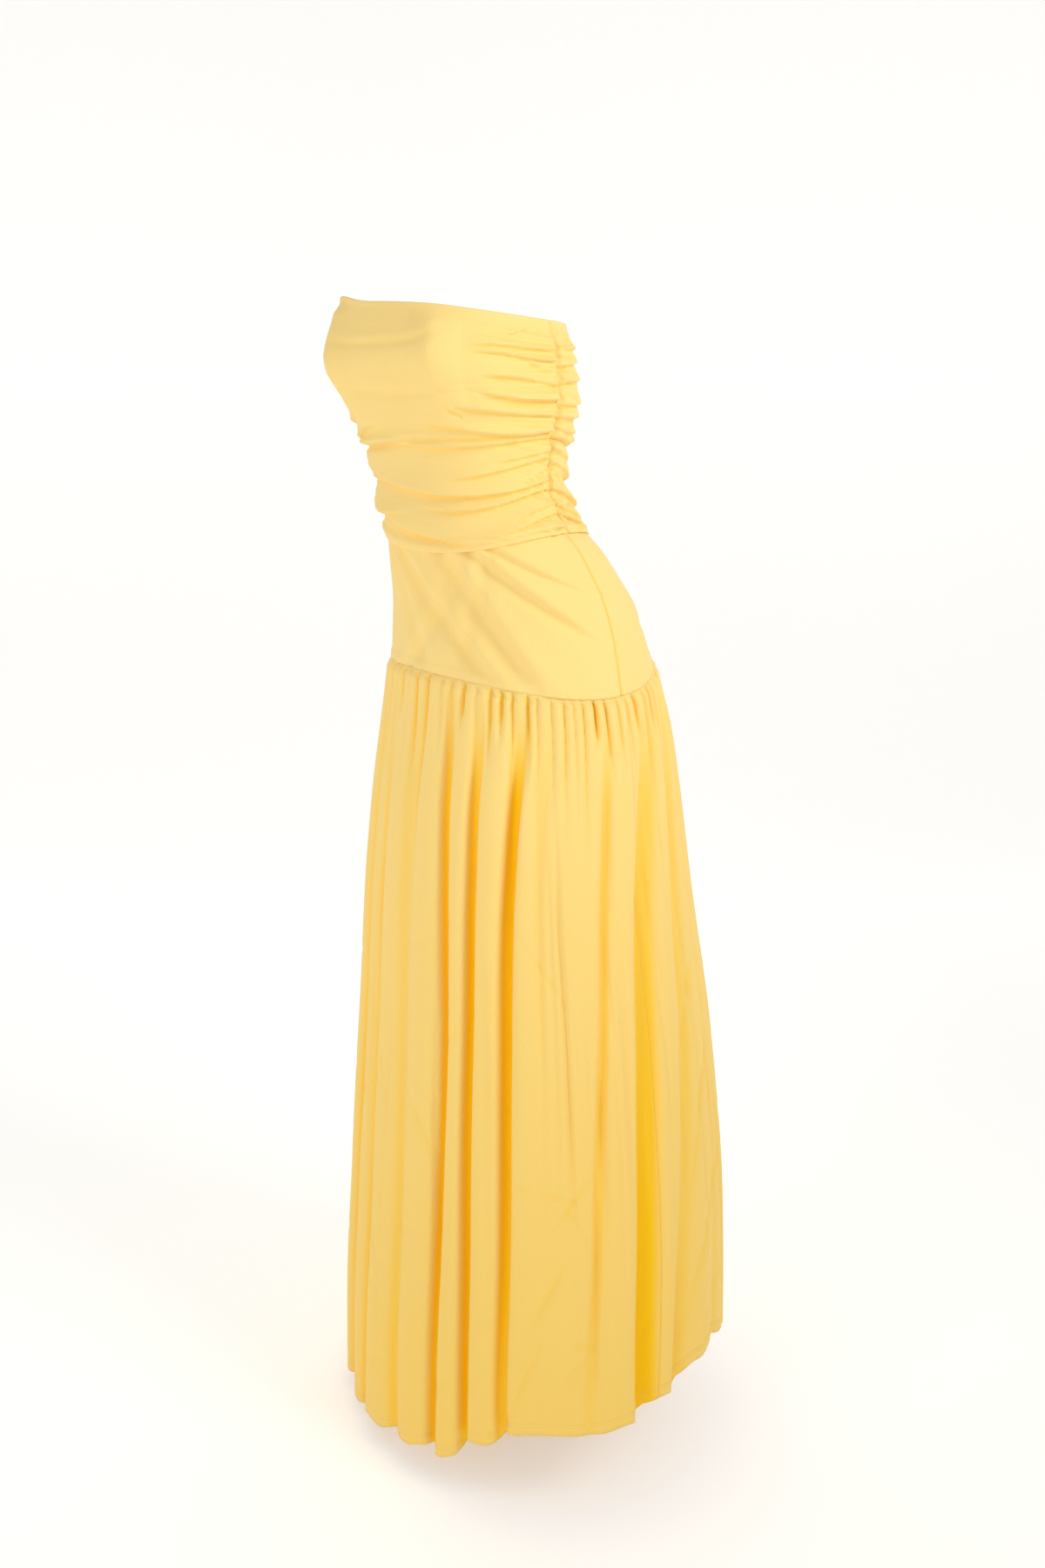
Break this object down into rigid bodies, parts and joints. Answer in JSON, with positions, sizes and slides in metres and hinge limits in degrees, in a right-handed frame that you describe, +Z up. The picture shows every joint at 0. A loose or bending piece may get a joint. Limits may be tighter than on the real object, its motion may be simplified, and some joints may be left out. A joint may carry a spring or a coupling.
{
  "type": "maxi dress",
  "caption": "Strapless drop-waist maxi dress in stretch jersey, with a ruched bodice, smooth hip yoke and long gathered skirt, hollow and open at the top edge and hem.",
  "frame": {"origin": "middle of the wearer's chest at the height of the bust points, where the chest holds the strapless dress up", "axes": "+Z up along the dress, -Y out of the front, +X towards the wearer's left side"},
  "size_m": [0.516, 0.433, 1.345],
  "materials": {
    "jersey": "matt pale yellow stretch jersey with a soft sheen"
  },
  "bodies": {
    "root": {"bodice_front": "jersey", "bodice_back": "jersey", "yoke_front": "jersey", "yoke_back": "jersey", "skirt_front_upper": "jersey", "skirt_front_middle": "jersey", "skirt_front_lower": "jersey", "skirt_back_upper": "jersey", "skirt_back_middle": "jersey", "skirt_back_lower": "jersey"}
  },
  "joints": []
}
